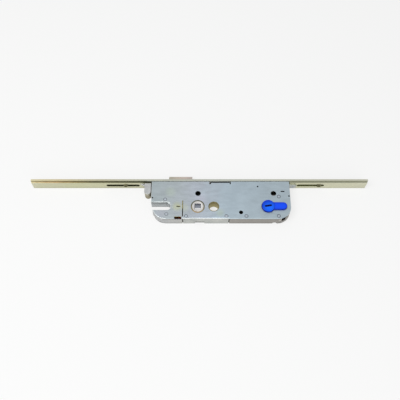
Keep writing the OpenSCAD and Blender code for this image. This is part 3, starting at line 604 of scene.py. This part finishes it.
# Slides, pins, studs and axle inside the case: darkened as painted shade
inner_steel_shade = plated_metal(
    "inner_steel_shade",
    [linear(70, 70, 66), linear(92, 91, 85), linear(108, 105, 94)],
    roughness=0.3,
    grain=(30, 500, 500),
)
spring_steel = plated_metal(
    "spring_steel",
    [linear(84, 82, 82), linear(112, 110, 108), linear(128, 122, 112)],
    roughness=0.3,
    grain=(400, 400, 400),
)
# Peened rims round the rivets: dark grey as painted shade in their grooves
rim_shade_dark = plated_metal(
    "rim_shade_dark",
    [linear(58, 65, 68), linear(82, 89, 92), linear(104, 110, 113)],
    roughness=0.5,
    grain=(800, 800, 800),
)
# Rotor disc: blue, with painted light in its middle and painted shade at its rim
blue_disc = moulded_plastic(
    "blue_disc",
    linear(6, 62, 198),
    linear(3, 52, 184),
    roughness=0.4,
    spots=[((93, -2.5, 10), 9.5, linear(12, 102, 246), 1.0)],
)
# Plug body and cam: blue, with painted light along the tail's middle and painted shade at its edges
blue_tail = moulded_plastic(
    "blue_tail",
    linear(4, 38, 166),
    linear(2, 32, 152),
    roughness=0.42,
    spots=[((x, -0.3, 9.7), 6.2, linear(14, 74, 236), 1.0) for x in (101, 105, 109, 112)],
)
# Sides of the plug: darker blue as painted shade
blue_side_shade = moulded_plastic("blue_side_shade", linear(6, 46, 172), linear(3, 38, 152), roughness=0.45)
# Key slot and its bent rim: dark navy as painted shade
blue_slot_shade = moulded_plastic("blue_slot_shade", linear(2, 14, 84), linear(0, 8, 62), roughness=0.5)

FINISH = {
    "case_tray": tray_zinc,
    "cover_plate": cover_zinc,
    "faceplate": face_zinc,
    "faceplate_rivets": screw_zinc,
    "rod_guide_bushes": guide_olive_shade,
    "case_rivets": rivet_steel,
    "cover_rivet": rivet_steel,
    "detent_spring": spring_steel,
    "through_bolt_sleeve": sleeve_brass,
    "hub_bush_top": ring_brass_shaded,
    "hub_bush_bottom": bush_brass,
    "pinion_axle": inner_steel_shade,
    "slide_guide_studs": inner_steel_shade,
    "latch_spring": spring_steel,
    "hub_spring": spring_steel,
    "plug_body": blue_tail,
    "cylinder_screw": screw_zinc,
    "spindle_hub": hub_metal,
    "latch_head": bolt_metal,
    "latch_tail": groove_olive,
    "latch_pin": inner_steel_shade,
    "plug_rotor": blue_disc,
    "plug_cam": blue_tail,
    "lower_slide": inner_steel_shade,
    "lower_coupling": coupling_zinc,
    "lower_rod": rod_zinc,
    "lower_drive_rivets": rivet_steel,
    "upper_slide": inner_steel_shade,
    "driver_block": block_zinc,
    "upper_rod": rod_zinc,
    "upper_drive_rivets": rivet_steel,
    "reversing_pinion": bush_brass,
    "deadbolt": bolt_metal,
    "deadbolt_pin": inner_steel_shade,
}

# Face tests are in millimetres from the spindle axis, and in shares of a face's normal along an axis:
# up to ALONG the face lies along that axis, from FACING on it looks that way
ALONG = 0.5
FACING = 0.7

# How far in front of a face a point is taken, to see what the face looks into
PROBE = 0.4

# Inside of the case: the box of its walls, the fork and the two round corners with their side and radius
CASE_LOW = Vector((-60.0, -16.4, -6.2))
CASE_HIGH = Vector((120.4, 37.0, 6.2))
FORK_LOW = Vector((-62.0, -6.2))
FORK_HIGH = Vector((-34.5, 7.6))
CORNERS = [(Vector((104.7, -0.7)), 1, 15.7), (Vector((-47.0, -5.7)), -1, 10.7)]

# Window in a round corner: its reach along X in the tray and in the cover, its front, half its height,
# the way out of it, and the largest share of that way in the normal of one of its walls
TRAY_WINDOW = (108.6, 114.6)
COVER_WINDOW = (109.6, 116.0)
WINDOW_FRONT = -8.0
WINDOW_HALF = 6.0
WINDOW_WAY = Vector((0.43, -0.9))
WINDOW_TURN = 0.4

# Holes in the cover: pin holes with the reach of their walls, and the box around the two small slots
PIN_HOLES = [Vector((-59.7, 12.6)), Vector((120.1, 15.1)), Vector((79.4, 29.1))]
PIN_HOLE_REACH = 1.2
SMALL_SLOTS_LOW = Vector((-29.0, -15.0))
SMALL_SLOTS_HIGH = Vector((-18.0, 9.0))

# The cover's flange: smallest share of its normal to the back
FLANGE_FACING = 0.6

# Rods: where their thin edges begin, half the width of their slots and how far out the slots go
ROD_EDGE = 6.0
ROD_SLOT_HALF = 4.0
ROD_SLOT_END = 190.0

# Driver block: where its round end begins, largest share to the front there, and the hole in its gusset
BLOCK_END = 26.0
BLOCK_END_TURN = 0.2
GUSSET_HOLE = Vector((-72.1, 33.0))
GUSSET_HOLE_REACH = 0.9

# Largest share to the front of a face behind the end of a bolt
BOLT_END_TURN = 0.3

# Reach of the spindle's square hole, and of the rotor's slot round the key's axis, with its heights
SQUARE_REACH = 5.0
KEY_AXIS = Vector((92.0, 0.0))
KEY_SLOT_REACH = 4.6
KEY_SLOT_HEIGHTS = (7.0, 9.95)


def within(spot, low, high):
    """Whether a point is in a box, seen from above."""
    return all(low[k] < spot[k] < high[k] for k in range(2))


def beyond_walls(spot):
    """Whether a point is outside the case's walls, seen from above."""
    if any(spot[k] < CASE_LOW[k] or spot[k] > CASE_HIGH[k] for k in range(2)):
        return True
    if within(spot, FORK_LOW, FORK_HIGH):
        return True
    for centre, side, radius in CORNERS:
        offset = spot.xy - centre
        if offset.x * side > 0 and offset.y < 0 and offset.length > radius:
            return True
    return False


def on_side(place, normal):
    """Whether a face stands upright."""
    return abs(normal.z) < ALONG


def faces_inside(place, normal):
    """Whether a face of the case looks into it."""
    spot = place + normal * PROBE
    return CASE_LOW.z <= spot.z <= CASE_HIGH.z and not beyond_walls(spot)


def on_rim(place, normal):
    """Whether an upright face is on the outer edge of the case or its cover."""
    return on_side(place, normal) and beyond_walls(place + normal * PROBE)


def on_cover_edge(place, normal):
    """Whether a face is on the outer edge of the cover plate."""
    return on_rim(place, normal) and place.z > CASE_HIGH.z


def in_fork(place, normal):
    """Whether a face of the case looks into its bolt fork."""
    return on_side(place, normal) and within(place + normal * PROBE, FORK_LOW, FORK_HIGH)


def in_corner_window(place, normal):
    """Whether a face is a wall of the window in the case's round corner."""
    at_window = TRAY_WINDOW[0] < place.x < TRAY_WINDOW[1] and place.y < WINDOW_FRONT
    across = abs(normal.xy.dot(WINDOW_WAY)) < WINDOW_TURN
    return at_window and across and abs(place.z) < WINDOW_HALF


def over_corner_window(place, normal):
    """Whether a face is on the cover's edge over the window in the round corner; such solid faces get
    painted shade.
    """
    at_window = COVER_WINDOW[0] < place.x < COVER_WINDOW[1] and place.y < WINDOW_FRONT
    return at_window and on_rim(place, normal)


def in_pin_hole(place, normal):
    """Whether a face is a wall of a pin hole in the cover."""
    near = any((place.xy - hole).length < PIN_HOLE_REACH for hole in PIN_HOLES)
    return near and on_side(place, normal)


def on_flange(place, normal):
    """Whether a face is on the back of the cover's folded flange."""
    return normal.y < -FLANGE_FACING and place.y < CASE_LOW.y


def in_small_slot(place, normal):
    """Whether a face is a wall of the guide groove or of the short slot beside it."""
    return on_side(place, normal) and within(place, SMALL_SLOTS_LOW, SMALL_SLOTS_HIGH)


def on_thin_edge(place, normal):
    """Whether a face is on a long thin edge of a rod."""
    return abs(normal.z) > FACING and abs(place.z) > ROD_EDGE


def in_rod_slot(place, normal):
    """Whether a face is a wall of a rod's slot."""
    return abs(normal.y) < ALONG and abs(place.z) < ROD_SLOT_HALF and abs(place.x) < ROD_SLOT_END


def on_back(place, normal):
    """Whether a face looks into the door."""
    return normal.y < -FACING


def on_block_end(place, normal):
    """Whether a face is on the round end of the driver block."""
    return on_side(place, normal) and place.y < BLOCK_END and normal.y < BLOCK_END_TURN


def in_gusset_hole(place, normal):
    """Whether a face is a wall of the small hole in the driver block's gusset."""
    return on_side(place, normal) and (place.xy - GUSSET_HOLE).length < GUSSET_HOLE_REACH


def in_front(place, normal):
    """Whether a face looks out of the door's edge."""
    return normal.y > FACING


def not_in_front(place, normal):
    """Whether a face is behind the end of a bolt."""
    return normal.y < BOLT_END_TURN


def in_square(place, normal):
    """Whether a face is a wall of the spindle's square hole."""
    return on_side(place, normal) and place.xy.length < SQUARE_REACH


def in_key_slot(place, normal):
    """Whether a face is in the slot of the plug's rotor."""
    near = (place.xy - KEY_AXIS).length < KEY_SLOT_REACH
    return near and KEY_SLOT_HEIGHTS[0] < place.z < KEY_SLOT_HEIGHTS[1]


# Other finishes of some faces of a node; the first test that holds counts
FACE_FINISH = {
    "case_tray": [(in_corner_window, hole_shade_black), (faces_inside, case_inside_shade), (in_fork, fork_shaded_zinc)],
    "cover_plate": [
        (in_pin_hole, hole_shade_black), (over_corner_window, hole_shade_black), (on_flange, flange_lit_zinc),
        (on_cover_edge, edge_highlight_zinc), (in_small_slot, groove_olive), (faces_inside, case_inside_shade),
    ],
    "faceplate": [(on_back, face_back)],
    "rod_guide_bushes": [(in_front, screw_zinc)],
    "upper_rod": [(on_thin_edge, rod_edge_shade), (in_rod_slot, rod_slot_shade)],
    "lower_rod": [(on_thin_edge, rod_edge_shade), (in_rod_slot, rod_slot_shade)],
    "driver_block": [(in_gusset_hole, hole_shade_black), (on_block_end, block_end_shade)],
    "deadbolt": [(not_in_front, bolt_shade_black)],
    "spindle_hub": [(in_square, square_light_and_shade)],
    "plug_rotor": [(in_key_slot, blue_slot_shade), (on_side, blue_side_shade)],
    "plug_body": [(on_side, blue_side_shade)],
}

# Top edges with a bend of their own: finishes of the faces under the edge, width, finish of the bend
# The cover's bends carry a painted highlight, the key slot's bent rim painted shade
TOP_BENDS = {
    "cover_plate": ([flange_lit_zinc, edge_highlight_zinc], 0.9, edge_highlight_zinc),
    "plug_rotor": ([blue_slot_shade], 0.4, blue_slot_shade),
}
BEND_SEGMENTS = 4

# Stretch of the back edge where a notch leaves no room for a bend, the shortest edge that is bent,
# and the smallest upward share of the face above a bend
NOTCH_STRETCH = (-42.0, -19.0)
SHORTEST_BEND = 0.5
TOP_FACING = 0.9

# The lobe behind the fork: its corner as packed, the fuller round it has in the sheet metal, where it
# ends at the front and how deep its walls go in
LOBE_NODES = ("case_tray", "cover_plate")
LOBE_EDGES = Vector((-59.0, -17.7))
LOBE_RADIUS = 12.0
LOBE_FULL_RADIUS = 17.0
LOBE_FRONT = -6.0
WALL_DEPTH = 1.65

# Cut where the fuller round begins: distance at which a point is on it, and margin in which points stay
CUT_GRIP = 0.0001
CUT_MARGIN = 0.01


def wear(thing, material):
    """Gives a thing one material all over."""
    thing.data.materials.clear()
    thing.data.materials.append(material)


def new_piece(name, build, body, material):
    """A mesh piece made by build(bmesh), riding on a body."""
    data = bpy.data.meshes.new(name)
    form = bmesh.new()
    build(form)
    bmesh.ops.recalc_face_normals(form, faces=form.faces)
    form.to_mesh(data)
    form.free()
    thing = bpy.data.objects.new(name, data)
    bpy.context.scene.collection.objects.link(thing)
    data.materials.append(material)
    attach(thing, body)
    return thing


def lobe_reach(centre, way):
    """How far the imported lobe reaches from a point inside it."""
    middle = LOBE_EDGES + Vector((LOBE_RADIUS, LOBE_RADIUS))
    gap = centre - middle
    along = gap.dot(way)
    reach = -along + math.sqrt(along * along - gap.length_squared + LOBE_RADIUS ** 2)
    end = centre + way * reach
    if end.x > middle.x:
        return (LOBE_EDGES.y - centre.y) / way.y
    if end.y > middle.y:
        return (LOBE_EDGES.x - centre.x) / way.x
    return reach


def fill_lobe(form):
    """Rounds the lobe's corner more fully, walls and all."""
    centre = LOBE_EDGES + Vector((LOBE_FULL_RADIUS, LOBE_FULL_RADIUS))
    everything = form.verts[:] + form.edges[:] + form.faces[:]
    cut = (centre.x * MM, 0, 0)
    bmesh.ops.bisect_plane(form, geom=everything, dist=CUT_GRIP * MM, plane_co=cut, plane_no=(1, 0, 0))
    for vert in form.verts:
        place = vert.co.xy / MM
        if place.x > centre.x - CUT_MARGIN or place.y > LOBE_FRONT:
            continue
        way = (place - centre).normalized()
        reach = lobe_reach(centre, way)
        if (place - centre).length > reach - WALL_DEPTH:
            shift = way * (LOBE_FULL_RADIUS - reach) * MM
            vert.co.x += shift.x
            vert.co.y += shift.y


def chains(edges):
    """The edges in groups that hang together, in the same order at every run."""
    left = dict.fromkeys(edges)
    groups = []
    while left:
        group = [left.popitem()[0]]
        for edge in group:
            for other in [*edge.verts[0].link_edges, *edge.verts[1].link_edges]:
                if other in left:
                    del left[other]
                    group.append(other)
        groups.append(group)
    return groups


def order_faces(form):
    """Puts the faces in an order that is the same at every run, by the numbers of their points."""
    form.verts.index_update()
    count = len(form.verts)

    def rank(face):
        return min(loop.vert.index * count + loop.link_loop_next.vert.index for loop in face.loops)

    form.faces.sort(key=rank)


def bend_tops(form, palette, below, width, finish):
    """Bends the top edges over faces of some finishes."""
    low = [palette.index(material) for material in below]

    def on_bend(edge):
        if len(edge.link_faces) != 2 or edge.calc_length() < SHORTEST_BEND * MM:
            return False
        middle = (edge.verts[0].co + edge.verts[1].co) / 2 / MM
        if NOTCH_STRETCH[0] < middle.x < NOTCH_STRETCH[1] and middle.y < CASE_LOW.y:
            return False
        upper, lower = sorted(edge.link_faces, key=lambda face: -face.normal.z)
        upright = abs(lower.normal.z) < ALONG
        return upper.normal.z > TOP_FACING and upright and lower.material_index in low

    for chain in chains([edge for edge in form.edges if on_bend(edge)]):
        bent = bmesh.ops.bevel(
            form, geom=chain, offset=width * MM, offset_type="OFFSET", segments=BEND_SEGMENTS,
            profile=0.5, affect="EDGES", clamp_overlap=True,
        )
        for face in bent["faces"]:
            face.material_index = palette.index(finish)
            face.smooth = True
    order_faces(form)


def is_sharp(edge):
    """Whether the faces of an edge meet at more than EDGE_ANGLE."""
    return edge.is_manifold and edge.calc_face_angle() > EDGE_ANGLE


def between_corners(edge):
    """Whether an edge runs from one inner corner to another, like the rim of a square hole."""
    def in_corner(end):
        return any(is_sharp(other) and not other.is_convex for other in end.link_edges)
    return all(in_corner(end) for end in edge.verts)


def mark_convex(form, shortest):
    """Marks the sharp outer edges of some length, so that only they are rounded."""
    weight = form.edges.layers.float.new("bevel_weight_edge")
    for edge in form.edges:
        long_enough = edge.calc_length() > shortest * MM
        if is_sharp(edge) and edge.is_convex and long_enough and not between_corners(edge):
            edge[weight] = 1.0


def copy_packed(form, node):
    """Puts a node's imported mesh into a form, with its points joined."""
    form.from_mesh(frame["nodes"][node].data)
    bmesh.ops.remove_doubles(form, verts=form.verts, dist=MERGE * MM)


def rounded_copy(node):
    """A node's form with its sharp edges rounded and its faces finished, which stands for the node."""
    finishes = FACE_FINISH.get(node, [])

    def build(form):
        copy_packed(form, node)
        bmesh.ops.dissolve_limit(
            form, angle_limit=FLAT_ANGLE, verts=form.verts, edges=form.edges,
            use_dissolve_boundaries=False,
        )
        form.normal_update()
        for face in form.faces:
            face.smooth = True
            face.material_index = 0
            for i, (test, _) in enumerate(finishes):
                if test(face.calc_center_median() / MM, face.normal):
                    face.material_index = i + 1
                    break
        if node in LOBE_NODES:
            fill_lobe(form)
            form.normal_update()
        if node in TOP_BENDS:
            palette = [FINISH[node]] + [material for _, material in finishes]
            bend_tops(form, palette, *TOP_BENDS[node])
        form.normal_update()
        mark_convex(form, SHORTEST_ROUND.get(node, 0.0))

    piece = new_piece(node + "_finish", build, bodies_of_nodes[node], FINISH[node])
    for _, material in finishes:
        piece.data.materials.append(material)
    rounding = piece.modifiers.new("rounding", "BEVEL")
    rounding.width = EDGE_ROUND[node] * MM
    rounding.segments = EDGE_SEGMENTS
    rounding.limit_method = "WEIGHT"
    rounding.use_clamp_overlap = True
    shading = piece.modifiers.new("flat_faces", "WEIGHTED_NORMAL")
    shading.mode = "FACE_AREA"
    shading.weight = 100
    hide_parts(node)


def coil(node):
    """A spring's coil: a smooth-shaded copy of its imported mesh, riding on its body."""
    def build(form):
        copy_packed(form, node)
        for face in form.faces:
            face.smooth = True

    piece = new_piece(node + "_coil", build, bodies_of_nodes[node], FINISH[node])
    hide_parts(node)
    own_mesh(piece)


def lathe(form, centre, profile, steps=40):
    """A ring of faces turned round Z from (radius, height) points."""
    rings = []
    for radius, height in profile:
        ring = []
        for i in range(steps):
            turn = 2 * math.pi * i / steps
            place = Vector((radius * math.cos(turn), radius * math.sin(turn), height))
            ring.append(form.verts.new((centre + place) * MM))
        rings.append(ring)
    for low, high in zip(rings, rings[1:] + rings[:1]):
        for i in range(steps):
            j = (i + 1) % steps
            face = form.faces.new((low[i], low[j], high[j], high[i]))
            face.smooth = True


def islands(node):
    """Middles of the separate solids of a node, in millimetres."""
    form = bmesh.new()
    copy_packed(form, node)
    left = set(form.verts)
    middles = []
    while left:
        found = set()
        waiting = [left.pop()]
        while waiting:
            vert = waiting.pop()
            found.add(vert)
            for edge in vert.link_edges:
                other = edge.other_vert(vert)
                if other in left:
                    left.remove(other)
                    waiting.append(other)
        low = [min(vert.co[k] for vert in found) for k in range(2)]
        high = [max(vert.co[k] for vert in found) for k in range(2)]
        middles.append(tuple((low[k] + high[k]) / 2 / MM for k in range(2)))
    form.free()
    return sorted(middles)


def rivet_rims(form):
    """Peened rims round the rivets of the cover."""
    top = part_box("case_rivets")[1][2] / MM
    for x, y in islands("case_rivets") + islands("cover_rivet"):
        lathe(form, Vector((x, y, top)), [(RIVET_RIM + out, height) for out, height in RIM_PROFILE])


for node, thing in frame["nodes"].items():
    wear(thing, FINISH[node])
for node in EDGE_ROUND:
    rounded_copy(node)
new_piece("rivet_rims", rivet_rims, "case", rim_shade_dark)
coil("latch_spring")
coil("hub_spring")


def seen_directly(tree):
    """One for rays that show the surroundings, straight on or in shiny things, and zero for light."""
    rays = tree.nodes.new("ShaderNodeLightPath")
    seen = rays.outputs["Is Camera Ray"]
    for kind in ("Is Glossy Ray", "Is Transmission Ray"):
        either = tree.nodes.new("ShaderNodeMath")
        either.operation = "MAXIMUM"
        tree.links.new(seen, either.inputs[0])
        tree.links.new(rays.outputs[kind], either.inputs[1])
        seen = either.outputs[0]
    return seen


def blend_shaders(tree, share, plain, shown, output):
    """Leads a plain shader, with a share of another one, to an output."""
    both = tree.nodes.new("ShaderNodeMixShader")
    tree.links.new(share, both.inputs[0])
    tree.links.new(plain.outputs[0], both.inputs[1])
    tree.links.new(shown.outputs[0], both.inputs[2])
    tree.links.new(both.outputs[0], tree.nodes[output].inputs["Surface"])


def pale_floor(level):
    """A wide pale floor that keeps the part's soft shadow."""
    data = bpy.data.meshes.new("floor")
    sides = [(-1, -1), (1, -1), (1, 1), (-1, 1)]
    data.from_pydata([(x * FLOOR_HALF, y * FLOOR_HALF, level) for x, y in sides], [], [(0, 1, 2, 3)])
    floor = bpy.data.objects.new("floor", data)
    bpy.context.scene.collection.objects.link(floor)
    material, tree, shader = new_material("floor_white", 0.0, FLOOR_ROUGHNESS)
    shader.inputs["Base Color"].default_value = FLOOR_COLOUR
    shader.inputs["Specular IOR Level"].default_value = FLOOR_GLOSS
    glow = tree.nodes.new("ShaderNodeEmission")
    glow.inputs["Color"].default_value = FLOOR_GLOW
    share = tree.nodes.new("ShaderNodeMath")
    share.operation = "MULTIPLY"
    share.inputs[1].default_value = FLOOR_GLOW_SHARE
    tree.links.new(seen_directly(tree), share.inputs[0])
    blend_shaders(tree, share.outputs[0], shader, glow, "Material Output")
    data.materials.append(material)


def studio_world():
    """White surroundings for the camera and for reflections, softer as light."""
    world = bpy.data.worlds.new("studio")
    bpy.context.scene.world = world
    world.use_nodes = True
    tree = world.node_tree
    light = tree.nodes["Background"]
    light.inputs["Color"].default_value = SKY_LIGHT
    light.inputs["Strength"].default_value = SKY_STRENGTH
    white = tree.nodes.new("ShaderNodeBackground")
    white.inputs["Color"].default_value = BACKDROP
    white.inputs["Strength"].default_value = BACKDROP_STRENGTH
    blend_shaders(tree, seen_directly(tree), light, white, "World Output")


def soft_lamp(name, place, size, power):
    """A square studio lamp aimed at the part's origin; place and size in metres, power in watts."""
    data = bpy.data.lights.new(name, "AREA")
    data.size = size
    data.energy = power
    lamp = bpy.data.objects.new(name, data)
    lamp.location = place
    lamp.rotation_euler = (-Vector(place)).to_track_quat("-Z", "Y").to_euler()
    bpy.context.scene.collection.objects.link(lamp)


def photo_camera():
    """The camera at the photograph's viewing angle."""
    data = bpy.data.cameras.new("camera")
    data.lens = LENS
    data.sensor_width = SENSOR
    camera = bpy.data.objects.new("camera", data)
    distance = VIEW_WIDTH / SENSOR * LENS
    away = Vector((0, -math.cos(VIEW_ELEVATION), math.sin(VIEW_ELEVATION)))
    camera.location = VIEW_TARGET + away * distance
    camera.rotation_euler = (-away).to_track_quat("-Z", "Y").to_euler()
    bpy.context.scene.collection.objects.link(camera)
    bpy.context.scene.camera = camera


pale_floor(cad_box[0][2])
studio_world()
soft_lamp("key_lamp", place=(-0.5, -0.3, 1.1), size=0.7, power=9.0)
soft_lamp("front_lamp", place=(0.35, -1.1, 0.55), size=1.1, power=5.0)
photo_camera()
bpy.context.scene.view_settings.view_transform = "Standard"
